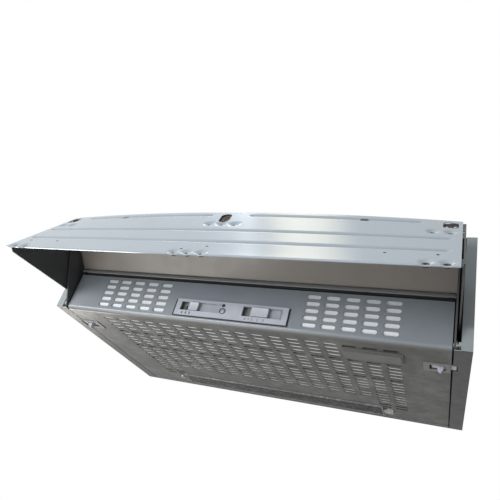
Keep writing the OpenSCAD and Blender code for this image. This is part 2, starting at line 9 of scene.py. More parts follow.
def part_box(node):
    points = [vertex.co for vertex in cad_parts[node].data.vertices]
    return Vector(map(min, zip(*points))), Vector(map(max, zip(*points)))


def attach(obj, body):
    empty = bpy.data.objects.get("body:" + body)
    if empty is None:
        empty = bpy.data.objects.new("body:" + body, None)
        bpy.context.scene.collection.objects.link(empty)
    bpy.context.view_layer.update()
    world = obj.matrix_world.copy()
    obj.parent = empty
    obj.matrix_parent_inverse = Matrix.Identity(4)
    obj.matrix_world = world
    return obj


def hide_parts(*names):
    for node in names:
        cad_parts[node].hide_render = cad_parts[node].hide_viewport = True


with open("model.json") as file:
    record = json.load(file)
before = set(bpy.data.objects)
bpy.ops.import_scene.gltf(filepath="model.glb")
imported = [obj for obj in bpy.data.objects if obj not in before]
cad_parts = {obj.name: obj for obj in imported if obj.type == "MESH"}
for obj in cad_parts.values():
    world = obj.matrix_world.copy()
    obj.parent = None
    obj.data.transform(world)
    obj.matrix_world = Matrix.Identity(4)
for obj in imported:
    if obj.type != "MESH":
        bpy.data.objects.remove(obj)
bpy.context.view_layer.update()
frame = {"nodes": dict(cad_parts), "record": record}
nodes = frame["nodes"]
MM = 0.001

# Driving sizes of the visor's skin, in metres; the tilt is from upright
VISOR_TILT = math.radians(36.7)
SHEET = 1.0 * MM
CROWN = 10.0 * MM
CROWN_GROWTH = 1.3
BEAD_DEPTH = 3.2 * MM
BEAD_HALF = 4.0 * MM
DIMPLE = 3.2 * MM
DIMPLE_R = 8.6 * MM
NEAR_ROLL = 0.8 * MM

# The floor, the side that the room light comes from, and its strength away from and towards that side
FLOOR_Z = -0.62
FLOOR_SIZE = 3.6
ROOM_BRIGHT_SIDE = (-0.72, -0.05, 0.69)
ROOM_LIGHT = (0.0, 0.98)

# The camera's place, directions, lens in millimetres and shift
CAMERA_PLACE = Vector((0.2801, -0.8469, -0.2314))
CAMERA_FORWARD = Vector((-0.413, 0.784, 0.464)).normalized()
CAMERA_RIGHT = Vector((0.909, 0.325, 0.261))
CAMERA_LENS = 34.42
CAMERA_SHIFT = (0.0184, 0.0434)


# ---- camera, lights and floor ----

def studio_camera():
    """The camera, with its right squared to its forward direction."""
    right = (CAMERA_RIGHT - CAMERA_RIGHT.dot(CAMERA_FORWARD) * CAMERA_FORWARD).normalized()
    down = CAMERA_FORWARD.cross(right)
    data = bpy.data.cameras.new("camera")
    camera = bpy.data.objects.new("camera", data)
    bpy.context.scene.collection.objects.link(camera)
    turn = Matrix((right, -down, -CAMERA_FORWARD)).transposed().to_4x4()
    camera.matrix_world = Matrix.Translation(CAMERA_PLACE) @ turn
    data.lens, data.sensor_width = CAMERA_LENS, 36.0
    data.shift_x, data.shift_y = CAMERA_SHIFT
    data.clip_start, data.clip_end = 0.02, 60.0
    bpy.context.scene.camera = camera


def area_light(name, place, target, size, power, colour):
    """A rectangular light of size (width, height) that looks at its target."""
    data = bpy.data.lights.new(name, "AREA")
    data.shape, data.size, data.size_y = "RECTANGLE", size[0], size[1]
    data.energy, data.color = power, colour
    lamp = bpy.data.objects.new(name, data)
    lamp.location = place
    lamp.rotation_euler = (Vector(target) - Vector(place)).to_track_quat("-Z", "Y").to_euler()
    bpy.context.scene.collection.objects.link(lamp)


def studio_world():
    """Soft room light, brighter on the left than on the right; the room itself is seen as white."""
    world = bpy.data.worlds.new("studio")
    world.use_nodes = True
    tree = world.node_tree
    room = tree.nodes["Background"]
    coords = add(tree, "ShaderNodeTexCoord")
    direction = [("Vector", coords.outputs["Generated"])]
    side = add(tree, "ShaderNodeVectorMath", direction, operation="DOT_PRODUCT")
    side.inputs[1].default_value = ROOM_BRIGHT_SIDE
    tree.links.new(rescale(tree, side.outputs["Value"], *ROOM_LIGHT, -1.0, 1.0), room.inputs["Strength"])
    room.inputs["Color"].default_value = (0.96, 0.98, 1.0, 1)
    white = add(tree, "ShaderNodeBackground")
    white.inputs["Color"].default_value = (1, 1, 1, 1)
    rays = add(tree, "ShaderNodeLightPath")
    mixed = add(tree, "ShaderNodeMixShader", [("Fac", rays.outputs["Is Camera Ray"])])
    tree.links.new(room.outputs[0], mixed.inputs[1])
    tree.links.new(white.outputs[0], mixed.inputs[2])
    tree.links.new(mixed.outputs[0], tree.nodes["World Output"].inputs["Surface"])
    return world


def studio():
    """The camera, the room, five area lights and a pale floor."""
    studio_camera()
    bpy.context.scene.world = studio_world()
    bpy.context.scene.view_settings.view_transform = "Standard"
    warm, cool = (1.0, 0.86, 0.62), (0.92, 0.96, 1.0)
    area_light("window", (-0.42, 0.06, 1.43), (0.08, -0.39, 0.09), (0.34, 0.60), 0.75, warm)
    area_light("second_window", (-0.80, 0.06, 1.43), (0.0, -0.39, 0.09), (0.16, 0.60), 0.45, cool)
    area_light("low_left", (-0.95, 0.2, -0.48), (-0.27, -0.1, 0.0), (0.4, 0.4), 3.2, (1.0, 0.97, 0.92))
    area_light("below", (-0.40, -0.60, -0.52), (-0.15, -0.2, 0.0), (0.5, 0.3), 1.5, (1.0, 0.98, 0.95))
    area_light("front", (-1.0, -1.75, -0.20), (-0.05, -0.3, 0.03), (1.3, 0.5), 23.0, (0.97, 0.98, 1.0))
    floor = piece("floor", *grid_sheet(FLOOR_SIZE, FLOOR_SIZE, 2, 2, lambda x, y: (x, y, FLOOR_Z)))
    floor.data.materials.append(floor_material())


# ---- mesh helpers ----

def piece(name, verts, faces, smooth=False):
    """An object made from verts in metres and faces."""
    mesh = bpy.data.meshes.new(name)
    mesh.from_pydata([tuple(v) for v in verts], [], faces)
    mesh.update()
    made = bpy.data.objects.new(name, mesh)
    bpy.context.scene.collection.objects.link(made)
    if smooth:
        for face in mesh.polygons:
            face.use_smooth = True
    return made


def grid_sheet(width, depth, columns, rows, place):
    """Verts and faces of a sheet centred on the origin, each point moved by place(x, y)."""
    verts = [place((i / columns - 0.5) * width, (j / rows - 0.5) * depth)
             for j in range(rows + 1) for i in range(columns + 1)]
    step = columns + 1
    faces = [(j * step + i, j * step + i + 1, (j + 1) * step + i + 1, (j + 1) * step + i)
             for j in range(rows) for i in range(columns)]
    return verts, faces


def rim_faces(columns, rows, layer):
    """Faces between the edge of a grid sheet and that of a second one, layer points further on."""
    step = columns + 1
    rim = list(range(columns)) + [columns + j * step for j in range(rows)]
    rim += [rows * step + i for i in range(columns, 0, -1)] + [j * step for j in range(rows, 0, -1)]
    return [(a + layer, b + layer, b, a) for a, b in zip(rim, rim[1:] + rim[:1])]


def apply_modifiers(made):
    """Turns what the modifiers show into the object's own mesh."""
    graph = bpy.context.evaluated_depsgraph_get()
    mesh = bpy.data.meshes.new_from_object(made.evaluated_get(graph))
    made.modifiers.clear()
    made.data = mesh


def cut_away(made, cutters):
    """Cuts the cutters out of a piece and takes them off the scene."""
    for cutter in cutters:
        cut = made.modifiers.new("cut", "BOOLEAN")
        cut.operation, cut.object, cut.solver = "DIFFERENCE", cutter, "MANIFOLD"
    apply_modifiers(made)
    for cutter in cutters:
        bpy.data.objects.remove(cutter)


def soften(made, width, segments=2, angle=40.0):
    """Rounds the sharp edges of a piece or CAD node, and shades it smooth."""
    bevel = made.modifiers.new("soften", "BEVEL")
    bevel.width, bevel.segments = width, segments
    bevel.limit_method, bevel.angle_limit = "ANGLE", math.radians(angle)
    bevel.harden_normals = True
    for face in made.data.polygons:
        face.use_smooth = True


class Shape:
    """Verts and faces gathered from simple forms, in millimetres until it is built."""

    def __init__(self):
        self.verts, self.faces = [], []

    def add(self, verts, faces, turn=Matrix.Identity(4)):
        start = len(self.verts)
        self.verts += [turn @ Vector(v) for v in verts]
        self.faces += [tuple(start + i for i in face) for face in faces]
        return self

    def prism(self, outline, x0, x1, turn=Matrix.Identity(4)):
        """A closed [y, z] outline drawn out along X."""
        n = len(outline)
        verts = [(x, y, z) for x in (x0, x1) for y, z in outline]
        faces = [tuple(range(n)), tuple(range(2 * n - 1, n - 1, -1))]
        faces += [(i, i + n, (i + 1) % n + n, (i + 1) % n) for i in range(n)]
        return self.add(verts, faces, turn)

    def block(self, low, high):
        return self.prism([(low[1], low[2]), (high[1], low[2]), (high[1], high[2]), (low[1], high[2])],
            low[0], high[0])

    def lathe(self, profile, turn=Matrix.Identity(4), steps=40):
        """A closed [radius, height] profile turned about Z; a radius of 0 ends in a point."""
        rings, verts = [], []
        for radius, height in profile:
            count = 1 if radius == 0 else steps
            rings.append([len(verts) + i for i in range(count)])
            spins = [2 * math.pi * i / steps for i in range(count)]
            verts += [(radius * math.cos(spin), radius * math.sin(spin), height) for spin in spins]
        faces = []
        for a, b in zip(rings, rings[1:] + ([] if profile[0][0] == 0 else rings[:1])):
            for i in range(steps):
                corners = [a[i % len(a)], a[(i + 1) % len(a)], b[(i + 1) % len(b)], b[i % len(b)]]
                loop = [v for k, v in enumerate(corners) if v != corners[k - 1]]
                if len(loop) > 2:
                    faces.append(tuple(loop))
        return self.add(verts, faces, turn)

    def build(self, name, sharp=35.0):
        """The finished piece; edges above that angle stay sharp."""
        made = piece(name, [v * MM for v in self.verts], self.faces, True)
        work = bmesh.new()
        work.from_mesh(made.data)
        bmesh.ops.recalc_face_normals(work, faces=work.faces)
        work.to_mesh(made.data)
        work.free()
        made.data.set_sharp_from_angle(angle=math.radians(sharp))
        return made


def settle(made, material, body, replaces=()):
    """Gives a finished piece its material, the body that it rides on and what it stands for."""
    dress(made, material)
    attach(made, body)
    if replaces:
        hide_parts(*replaces)


def at(x, y, z, axis="Z"):
    """Place of a turned form, in millimetres; its height runs along +Z, -Y or -Z."""
    degrees = {"Z": 0, "-Y": 90, "-Z": 180}[axis]
    return Matrix.Translation((x, y, z)) @ Matrix.Rotation(math.radians(degrees), 4, "X")


def border(x0, y0, x1, y1, wide):
    """Low and high corners of the four strips just inside a rectangle."""
    return [((x0, y0), (x1, y0 + wide)), ((x0, y1 - wide), (x1, y1)),
            ((x0, y0 + wide), (x0 + wide, y1 - wide)), ((x1 - wide, y0 + wide), (x1, y1 - wide))]


def rounded(points, radius):
    """An outline with each corner replaced by an arc-like curve of that radius."""
    made, steps = [], 4
    for k, corner in enumerate(points):
        here, before, after = Vector(corner), Vector(points[k - 1]), Vector(points[(k + 1) % len(points)])
        reach = min(radius, (before - here).length * 0.45, (after - here).length * 0.45)
        start = here + (before - here).normalized() * reach
        end = here + (after - here).normalized() * reach
        for i in range(steps + 1):
            t = i / steps
            made.append(tuple((1 - t) ** 2 * start + 2 * t * (1 - t) * here + t * t * end))
    return made


# ---- material helpers ----

def new_material(name, colour, roughness, metallic=0.0, **sockets):
    """A plain material; further sockets are named with an underscore for each space."""
    made = bpy.data.materials.new(name)
    made.use_nodes = True
    shader = made.node_tree.nodes["Principled BSDF"]
    shader.inputs["Base Color"].default_value = (*colour, 1)
    shader.inputs["Roughness"].default_value = roughness
    shader.inputs["Metallic"].default_value = metallic
    for socket, value in sockets.items():
        shader.inputs[socket.replace("_", " ")].default_value = value
    return made


def add(tree, kind, links=(), **values):
    """A node with its sockets set from values, and linked from (socket name, output) pairs."""
    made = tree.nodes.new(kind)
    for key, value in values.items():
        if key in made.inputs:
            made.inputs[key].default_value = value
        else:
            setattr(made, key, value)
    for socket, output in links:
        tree.links.new(output, made.inputs[socket])
    return made


def place_of(tree, scale=(1, 1, 1)):
    """Position in the part, in metres, stretched by scale."""
    coords = add(tree, "ShaderNodeTexCoord")
    mapping = add(tree, "ShaderNodeMapping", [("Vector", coords.outputs["Object"])])
    mapping.inputs["Scale"].default_value = scale
    return mapping.outputs["Vector"]


def cloud(tree, where, scale, detail=4.0, roughness=0.55):
    """Cloudy noise from 0 to 1."""
    noise_of = [("Vector", where)]
    made = add(tree, "ShaderNodeTexNoise", noise_of, Scale=scale, Detail=detail, Roughness=roughness)
    return made.outputs["Fac"]


def ramp(tree, factor, stops):
    """Colours along a factor, from (position, colour) stops."""
    made = add(tree, "ShaderNodeValToRGB", [("Fac", factor)])
    while len(made.color_ramp.elements) < len(stops):
        made.color_ramp.elements.new(0.5)
    for element, (position, colour) in zip(made.color_ramp.elements, stops):
        element.position = position
        element.color = (*colour, 1)
    return made.outputs["Color"]


# Sockets of a mix node that mixes colours
MIX_A, MIX_B, MIX_RESULT = 6, 7, 2


def blend_colours(tree, factor, a, b):
    """A mix from a to b; the factor and the colours are plain values or node outputs."""
    made = add(tree, "ShaderNodeMix", data_type="RGBA")
    for index, value in ((MIX_A, a), (MIX_B, b)):
        if isinstance(value, bpy.types.NodeSocket):
            tree.links.new(value, made.inputs[index])
        else:
            made.inputs[index].default_value = (*value, 1)
    if isinstance(factor, bpy.types.NodeSocket):
        tree.links.new(factor, made.inputs[0])
    else:
        made.inputs[0].default_value = factor
    return made.outputs[MIX_RESULT]


def rescale(tree, value, low, high, from_low=0.0, from_high=1.0):
    """The value taken from one range to another."""
    made = add(tree, "ShaderNodeMapRange", [("Value", value)])
    limits = {"From Min": from_low, "From Max": from_high, "To Min": low, "To Max": high}
    for socket, number in limits.items():
        made.inputs[socket].default_value = number
    return made.outputs["Result"]


def set_bump(tree, height, strength, distance):
    shader = tree.nodes["Principled BSDF"]
    bump = add(tree, "ShaderNodeBump", [("Height", height)], Strength=strength, Distance=distance)
    tree.links.new(bump.outputs["Normal"], shader.inputs["Normal"])


def plug(tree, output, socket):
    """Links a node output to a socket of the material's shader."""
    tree.links.new(output, tree.nodes["Principled BSDF"].inputs[socket])


def scaled(colour, by):
    return tuple(min(1.0, c * by) for c in colour)


# ---- materials ----

def floor_material():
    made = new_material("pale_floor", (0.6, 0.6, 0.6), 0.7)
    tree = made.node_tree
    where = place_of(tree)
    plug(tree, ramp(tree, cloud(tree, where, 2.0), [(0.3, (0.58,) * 3), (0.7, (0.62,) * 3)]), "Base Color")
    return made


def paint(name, colour, roughness, coat=0.3, peel=0.10, mottle=0.06, grime=None, below=None, metal=0.0,
          wear=1.0):
    """Stove paint on sheet steel: faint mottle, orange peel and specks; grime in patches, and
    the below colour where a face looks down, used as painted shade; wear sets the specks and the uneven
    gloss."""
    made = new_material(name, colour, roughness, metal, Coat_Weight=coat, Coat_Roughness=0.12)
    tree = made.node_tree
    where = place_of(tree)
    broad = cloud(tree, where, 14.0, 5.0)
    shade = ramp(tree, broad, [(0.25, scaled(colour, 1 - mottle)), (0.75, scaled(colour, 1 + mottle))])
    specks = ramp(tree, cloud(tree, where, 900.0, 2.0), [(0.70, (0, 0, 0)), (0.78, (1, 1, 1))])
    shade = blend_colours(tree, specks, shade, scaled(colour, 1 + 0.25 * wear))
    if grime:
        patches = ramp(tree, cloud(tree, where, 22.0, 8.0, 0.7), [(0.46, (0, 0, 0)), (0.66, (0.9, 0.9, 0.9))])
        shade = blend_colours(tree, patches, shade, grime)
    # Painted shade: faces that look down blend to the below colour.
    if below:
        coords = add(tree, "ShaderNodeTexCoord")
        facing = add(tree, "ShaderNodeSeparateXYZ", [("Vector", coords.outputs["Normal"])])
        shade = blend_colours(tree, rescale(tree, facing.outputs["Z"], 1.0, 0.0, -0.95, -0.5), shade, below)
    plug(tree, shade, "Base Color")
    gloss = (roughness - 0.07 * wear, roughness + 0.09 * wear)
    plug(tree, rescale(tree, cloud(tree, where, 60.0, 5.0), *gloss, 0.3, 0.7), "Roughness")
    if peel:
        set_bump(tree, cloud(tree, where, 420.0, 2.0), peel, 0.0004)
    return made


def zinc(name, colour=(0.62, 0.62, 0.60)):
    """Galvanised steel with small spangles."""
    made = new_material(name, colour, 0.35, 0.9)
    tree = made.node_tree
    where = place_of(tree)
    flakes = add(tree, "ShaderNodeTexVoronoi", [("Vector", where)], Scale=260.0)
    stops = [(0.2, scaled(colour, 0.8)), (0.8, scaled(colour, 1.1))]
    plug(tree, ramp(tree, flakes.outputs["Color"], stops), "Base Color")
    plug(tree, rescale(tree, cloud(tree, where, 120.0), 0.25, 0.50), "Roughness")
    set_bump(tree, cloud(tree, where, 700.0), 0.08, 0.0003)
    return made


def plastic(name, colour, roughness, dust=0.0):
    """Moulded plastic with a fine grain, and light dust in spots."""
    made = new_material(name, colour, roughness)
    tree = made.node_tree
    where = place_of(tree)
    stops = [(0.3, scaled(colour, 0.92)), (0.7, scaled(colour, 1.05))]
    shade = ramp(tree, cloud(tree, where, 80.0, 4.0), stops)
    if dust:
        spots = ramp(tree, cloud(tree, where, 160.0, 6.0, 0.7), [(0.5, (0, 0, 0)), (0.7, (dust, dust, dust))])
        shade = blend_colours(tree, spots, shade, (0.50, 0.49, 0.47))
    plug(tree, shade, "Base Color")
    plug(tree, rescale(tree, cloud(tree, where, 200.0), roughness - 0.05, roughness + 0.1), "Roughness")
    set_bump(tree, cloud(tree, where, 900.0, 2.0), 0.12, 0.0002)
    return made


def felt(name, colour):
    """Matted pale fibres with darker clumps."""
    made = new_material(name, colour, 0.95, Sheen_Weight=0.4, Sheen_Roughness=0.6)
    tree = made.node_tree
    where = place_of(tree)
    fibres = cloud(tree, where, 700.0, 8.0, 0.75)
    clumps = cloud(tree, where, 140.0, 5.0, 0.6)
    shade = ramp(tree, fibres, [(0.35, scaled(colour, 0.72)), (0.60, colour)])
    shade = blend_colours(tree, clumps, scaled(colour, 0.85), shade)
    plug(tree, shade, "Base Color")
    set_bump(tree, fibres, 0.8, 0.0010)
    return made


def dusty_lens(name):
    """Smoked prismatic plastic under a layer of fluff and dust."""
    colour = (0.040, 0.040, 0.042)
    made = new_material(name, colour, 0.45, Transmission_Weight=0.15, IOR=1.49)
    tree = made.node_tree
    where = place_of(tree)
    dust = ramp(tree, cloud(tree, where, 260.0, 8.0, 0.8), [(0.50, (0, 0, 0)), (0.66, (1, 1, 1))])
    wiped = place_of(tree, (1, 3, 1))
    smear = ramp(tree, cloud(tree, wiped, 30.0, 6.0), [(0.4, (0.15,) * 3), (0.7, (0.65,) * 3)])
    veil = blend_colours(tree, smear, colour, (0.085, 0.085, 0.082))
    plug(tree, blend_colours(tree, dust, veil, (0.26, 0.26, 0.25)), "Base Color")
    plug(tree, rescale(tree, dust, 0.35, 0.85), "Roughness")
    set_bump(tree, dust, 0.3, 0.0004)
    return made


def glass(name, colour, roughness):
    """Lightly frosted glass."""
    made = new_material(name, colour, roughness, Transmission_Weight=0.85, IOR=1.5)
    tree = made.node_tree
    where = place_of(tree)
    plug(tree, rescale(tree, cloud(tree, where, 90.0), roughness, roughness + 0.15), "Roughness")
    set_bump(tree, cloud(tree, where, 300.0), 0.05, 0.0003)
    return made


def motor_metal(name):
    """Laminated, lacquered motor body: fine rings along X."""
    made = new_material(name, (0.16, 0.16, 0.17), 0.45, 0.6)
    tree = made.node_tree
    rings = add(tree, "ShaderNodeTexWave", [("Vector", place_of(tree))], Scale=160.0, Distortion=0.2)
    rings.bands_direction = "X"
    stops = [(0.2, (0.09, 0.09, 0.10)), (0.8, (0.24, 0.24, 0.25))]
    plug(tree, ramp(tree, rings.outputs["Fac"], stops), "Base Color")
    set_bump(tree, rings.outputs["Fac"], 0.5, 0.0005)
    return made


MATERIALS = {
    # casing_paint and panel_paint take a darker below colour on faces that look down: painted shade.
    "casing_paint": paint("casing_paint", (0.275, 0.305, 0.312), 0.42, 0.25, below=(0.052, 0.052, 0.047)),
    "panel_paint": paint("panel_paint", (0.225, 0.247, 0.268), 0.36, 0.3, 0.06, below=(0.115, 0.112, 0.10)),
    # underside_paint is a darker copy of the panel paint for the grille plate, which faces down: painted
    # shade, with grime patches on it.
    "underside_paint": paint("underside_paint", (0.070, 0.068, 0.060), 0.42, 0.2, 0.06,
        grime=(0.14, 0.137, 0.122)),
    "visor_paint": paint("visor_paint", (0.43, 0.485, 0.53), 0.17, 0.1, 0.0, 0.02, metal=0.6, wear=0.15),
    "dark_paint": paint("dark_paint", (0.060, 0.061, 0.060), 0.45, 0.15),
    "guide_paint": paint("guide_paint", (0.215, 0.19, 0.167), 0.34, 0.3, 0.05),
    "zinc_steel": zinc("zinc_steel"),
    "black_plastic": plastic("black_plastic", (0.020, 0.020, 0.021), 0.50),
    "light_plastic": plastic("light_plastic", (0.52, 0.54, 0.575), 0.38),
    "grey_plastic": plastic("grey_plastic", (0.43, 0.45, 0.50), 0.42),
    "slide_plastic": plastic("slide_plastic", (0.36, 0.38, 0.42), 0.45),
    "plate_paint": paint("plate_paint", (0.165, 0.165, 0.157), 0.38, 0.2),
    "badge_metal": paint("badge_metal", (0.115, 0.114, 0.108), 0.38, 0.2),
    "diffuser_plastic": dusty_lens("diffuser_plastic"),
    "filter_fabric": felt("filter_fabric", (0.90, 0.91, 0.93)),
    "motor_metal": motor_metal("motor_metal"),
    # recess_plastic darkens the switch bodies to the shade inside the slider windows: painted shade.
    "recess_plastic": plastic("recess_plastic", (0.22, 0.23, 0.22), 0.55),
    "lip_paint": paint("lip_paint", (0.185, 0.185, 0.185), 0.35, 0.3),
    "lens_rim": plastic("lens_rim", (0.15, 0.15, 0.145), 0.45, dust=0.8),
    "screw_steel": zinc("screw_steel", (0.70, 0.70, 0.68)),
    "print_ink": plastic("print_ink", (0.025, 0.025, 0.03), 0.6),
    "brown_steel": paint("brown_steel", (0.10, 0.075, 0.06), 0.6, 0.0, mottle=0.5),
    "lamp_glass": glass("lamp_glass", (0.95, 0.95, 0.93), 0.2),
    "lens_plastic": plastic("lens_plastic", (0.40, 0.41, 0.42), 0.25),
}


def dress(made, name):
    made.data.materials.clear()
    made.data.materials.append(MATERIALS[name])


# ---- CAD nodes that stay ----

def dress_nodes():
    """Every CAD node takes the material of its record slot; some then take a closer one, and plates
    and shells get rounded edges."""
    for row in frame["record"]["subparts"]:
        dress(nodes[row["node"]], row["material_slot"])
    # underside_paint on the grille plate and recess_plastic on the switches are painted shade; the other
    # choices here are the parts' own colours.
    for name, material in (("grille_plate", "underside_paint"), ("latch_plates", "plate_paint"),
                           ("light_switch", "recess_plastic"), ("fan_switch", "recess_plastic"),
                           ("light_slide", "slide_plastic"), ("fan_slide", "slide_plastic"),
                           ("visor_catch", "brown_steel")):
        dress(nodes[name], material)
    soften(nodes["badge_plate"], 0.9 * MM)
    for name in ("control_plate", "latch_plates", "light_slide", "fan_slide", "cable_gland"):
        soften(nodes[name], 0.4 * MM)
    for name in ("side_panel_left", "side_panel_right", "top_panel", "back_panel", "wing_left",
                 "wing_right", "arm_left", "arm_right", "wiring_box", "wiring_lid", "motor",
                 "outlet_collar", "collar_flange"):
        soften(nodes[name], 0.35 * MM)


# ---- visor ----

visor_low, visor_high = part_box("visor_sheet")
VISOR_W = visor_high.x - visor_low.x
VISOR_H = (visor_high.z - visor_low.z - SHEET * math.sin(VISOR_TILT)) / math.cos(VISOR_TILT)
NEAR_EDGE = Vector((0, visor_low.y, visor_low.z + SHEET * math.sin(VISOR_TILT)))

# Beads as (from x, to x, height along the sheet) and holes as (x, height), in millimetres
BEADS = [(31, 238, 130), (-238, -31, 130), (-270, 270, 77.5), (-270, 270, 40.6)]
DOOR_HOLES = [(x, s) for x in (-271, -253, -18, 0, 18, 253, 271) for s in (6.7, 99.5)]
SMALL_HOLES = [(-262.5, 27), (-214, 27), (214, 27), (262.5, 27), (17, 25), (-12, 15)]
DOOR_HOLE_R, SMALL_HOLE_R = 2.7, 1.8
KEYHOLE = [(-3, 113), (-4, 118), (-5, 123), (-6, 127)]
KEYHOLE_R = 7.5
NUT_X, NUT_S = 176, 128
CORNER_X = 270.5
CUT_DEPTH = 60 * MM


def visor_frame():
    """Takes x, depth behind the outer face and height along the sheet to the part's frame."""
    return Matrix.Translation(NEAR_EDGE) @ Matrix.Rotation(-VISOR_TILT, 4, "X")


def groove(x, s, x0, x1, height):
    """Depth of a bead, 0 to 1, that runs from x0 to x1 at that height along the sheet."""
    along = max(x0 - x, 0.0, x - x1)
    away = math.hypot(along, s - height)
    return 0.5 + 0.5 * math.cos(math.pi * min(away / BEAD_HALF, 1.0))


def visor_depth(x, s):
    """How far the outer face lies behind the flat sheet at a point."""
    crown = CROWN * (1 - (x / (VISOR_W / 2)) ** 2) * (s / VISOR_H) ** CROWN_GROWTH
    bead = max(groove(x, s, x0 * MM, x1 * MM, height * MM) for x0, x1, height in BEADS)
    dimple = 0.0
    for hole_x, hole_s in DOOR_HOLES:
        away = math.hypot(x - hole_x * MM, s - hole_s * MM) / DIMPLE_R
        if away < 1:
            dimple = max(dimple, (1 - away * away) ** 2)
    rolled = NEAR_ROLL - math.sqrt(max(NEAR_ROLL ** 2 - max(NEAR_ROLL - s, 0.0) ** 2, 0.0))
    return -crown + BEAD_DEPTH * bead + DIMPLE * dimple + rolled


def cylinder_cutter(x, s, radius):
    bpy.ops.mesh.primitive_cylinder_add(vertices=32, radius=radius * MM, depth=CUT_DEPTH,
        location=(x * MM, 0, s * MM), rotation=(math.pi / 2, 0, 0))
    return bpy.context.object


def box_cutter(x, s, width, height):
    bpy.ops.mesh.primitive_cube_add(size=1, location=(x * MM, 0, s * MM))
    made = bpy.context.object
    made.scale = (width * MM, CUT_DEPTH, height * MM)
    return made


def visor_cutters():
    """The holes, the keyhole, the nuts' oval slots and the rounded corner windows."""
    made = [cylinder_cutter(x, s, DOOR_HOLE_R) for x, s in DOOR_HOLES]
    made += [cylinder_cutter(x, s, SMALL_HOLE_R) for x, s in SMALL_HOLES]
    made += [cylinder_cutter(x, s, KEYHOLE_R) for x, s in KEYHOLE]
    for side in (-1, 1):
        nut, corner = side * NUT_X, side * CORNER_X
        made += [cylinder_cutter(nut + dx, NUT_S, 4.5) for dx in (-2.5, 2.5)]
        made += [box_cutter(nut, NUT_S, 5, 9), box_cutter(corner, 124, 16, 12)]
        made += [cylinder_cutter(corner + dx, s, 5) for dx in (-3, 3) for s in (118, 129)]
    return made


def visor_skin():
    """The crowned outer sheet with its beads, dimples and cut-outs."""
    columns, rows = 340, 120
    outer, faces = grid_sheet(VISOR_W, VISOR_H, columns, rows,
        lambda x, z: (x, visor_depth(x, z + VISOR_H / 2), z + VISOR_H / 2))
    made = piece("visor_skin", outer, faces, True)
    shell = made.modifiers.new("thickness", "SOLIDIFY")
    shell.thickness, shell.offset = SHEET, 1.0
    apply_modifiers(made)
    cut_away(made, visor_cutters())
    made.data.transform(visor_frame())
    made.data.set_sharp_from_angle(angle=math.radians(35))
    settle(made, "visor_paint", "visor", replaces=["visor_sheet"])


def behind_skin(x, s):
    """Depth in mm just behind the skin at a point in mm."""
    return (visor_depth(x * MM, s * MM) + SHEET) / MM + 0.15


def visor_backings():
    """Bushes, spring nuts and corner pads behind the holes, made black so that the holes and windows look
    dark: partly real parts, partly painted shade of the hollow behind the visor.
    """
    shape, gap = Shape(), 0.05
    for holes, bore, radius in ((DOOR_HOLES, 1.7, DOOR_HOLE_R - gap), (SMALL_HOLES, 0.9, SMALL_HOLE_R - gap)):
        for x, s in holes:
            bush = at(x, behind_skin(x, s) - 0.2, s, "-Y")
            shape.lathe([(bore, 0), (radius, 0), (radius, 0.7), (bore, 0.7)], bush, 20)
    for side in (-1, 1):
        x, depth = side * NUT_X, behind_skin(side * NUT_X, NUT_S - 6)
        shape.block((x - 6.5, depth - 0.2, NUT_S - 4), (x + 6.5, depth + 1.4, NUT_S + 4))
        shape.block((x - 6.5, depth + 0.6, NUT_S + 4), (x + 6.5, depth + 1.4, NUT_S + 10))
        x, depth = side * CORNER_X, behind_skin(side * CORNER_X, 127)
        shape.block((x - 10, depth + 0.4, 110), (x + 10, depth + 1.4, 138.6))
    made = shape.build("visor_backings")
    soften(made, 0.2 * MM)
    made.data.transform(visor_frame())
    settle(made, "black_plastic", "visor")


def visor_catch_plate():
    """A sloping plate with three rivets, seen through the keyhole."""
    plate = Shape()
    foot, top, middle = 104, 138, -5
    low, high = behind_skin(middle, foot), behind_skin(middle, top)
    plate.prism([(low, foot), (high, top), (high + 1, top), (low + 1, foot)], middle - 13, middle + 13)
    for x, s, radius in ((-4, 113, 2.6), (-5, 127, 2.4), (-5, 120, 1.6)):
        rivet = [(0, 0), (radius, 0), (radius, 0.8), (radius * 0.6, 1.2), (0, 1.2)]
        plate.lathe(rivet, at(x, behind_skin(x, s) + 0.4, s, "-Y"), 20)
    made = plate.build("visor_catch_plate")
    made.data.transform(visor_frame())
    settle(made, "brown_steel", "visor")


def corner_screws():
    """Two small screws inside each corner window of the visor."""
    shape = Shape()
    head = [(0, 0), (1.7, 0), (1.7, 0.6), (1.0, 1.1), (0, 1.2)]
    for side in (-1, 1):
        depth = behind_skin(side * CORNER_X, 127) + 0.4
        for x in (CORNER_X - 4, CORNER_X + 4.5):
            shape.lathe(head, at(side * x, depth, 122, "-Y"), 24)
    made = shape.build("corner_screws")
    made.data.transform(visor_frame())
    settle(made, "screw_steel", "visor")


# ---- felts ----

# Rows of the wires under the filter felt, in millimetres, and sizes of the felts' surface
WIRE_ROWS = (-295, -237.5, -180, -124, -72)
WIRE_PUSH = 2.0 * MM
WIRE_REACH = 4 * MM
FELT_CELL = 3.5 * MM
FELT_LUMP = 0.3 * MM
FELT_RIM = 3 * MM


